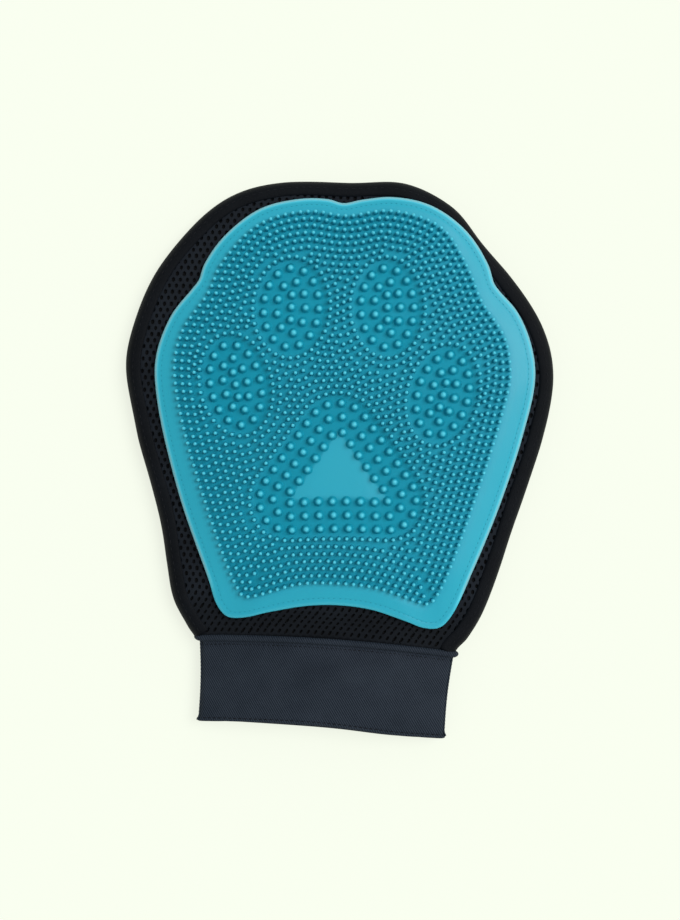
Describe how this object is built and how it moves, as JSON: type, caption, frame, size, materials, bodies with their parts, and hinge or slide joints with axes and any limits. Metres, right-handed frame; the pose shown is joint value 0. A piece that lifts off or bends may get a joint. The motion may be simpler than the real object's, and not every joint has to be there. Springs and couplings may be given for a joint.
{
  "type": "grooming glove",
  "caption": "Thumbless grooming mitt with a moulded silicone nub pad on its palm side, air-mesh panels, a bound edge and an elastic wrist cuff.",
  "frame": {"origin": "centre of the underside of the bounding box, on the surface that the glove lies on", "axes": "+Z out of the palm side, +Y toward the finger end, +X to the right seen from above the pad"},
  "size_m": [0.18, 0.2314, 0.0252],
  "materials": {
    "silicone": "satin moulded silicone",
    "pad_thread": "sewing thread",
    "air_mesh": "open 3-D air mesh",
    "lining": "smooth knit lining",
    "binding": "smooth stretch binding",
    "cuff_knit": "fine twill-faced knit",
    "elastic": "woven elastic",
    "thread": "sewing thread"
  },
  "bodies": {
    "hand": {"silicone_pad": "silicone", "pad_stitching": "pad_thread", "palm_mesh": "air_mesh", "palm_lining": "lining", "back_panel": "air_mesh", "back_lining": "lining", "edge_binding": "binding", "binding_needle_thread": "thread", "binding_bobbin_thread": "thread", "wrist_seam_roll_palm": "cuff_knit", "wrist_seam_roll_back": "cuff_knit"},
    "cuff_back": {"cuff_back_cover": "cuff_knit", "cuff_back_elastic": "elastic", "cuff_back_top_stitching": "thread", "cuff_back_hem_stitching": "thread", "cuff_side_seam_left": "cuff_knit", "cuff_side_seam_right": "cuff_knit"},
    "cuff_palm": {"cuff_palm_cover": "cuff_knit", "cuff_palm_elastic": "elastic", "cuff_palm_top_stitching": "thread", "cuff_palm_hem_stitching": "thread"}
  },
  "joints": [
    {"name": "wrist_fold", "type": "hinge", "parent": "hand", "child": "cuff_back", "pos_m": [0.002, -0.08213, 0.0146], "axis": [-1, 0, 0], "range_deg": [0, 40], "stiffness_Nm_per_rad": 0.02},
    {"name": "cuff_open", "type": "hinge", "parent": "cuff_back", "child": "cuff_palm", "pos_m": [0.002, -0.08213, 0.0146], "axis": [-1, 0, 0], "range_deg": [0, 20], "stiffness_Nm_per_rad": 0.05}
  ]
}
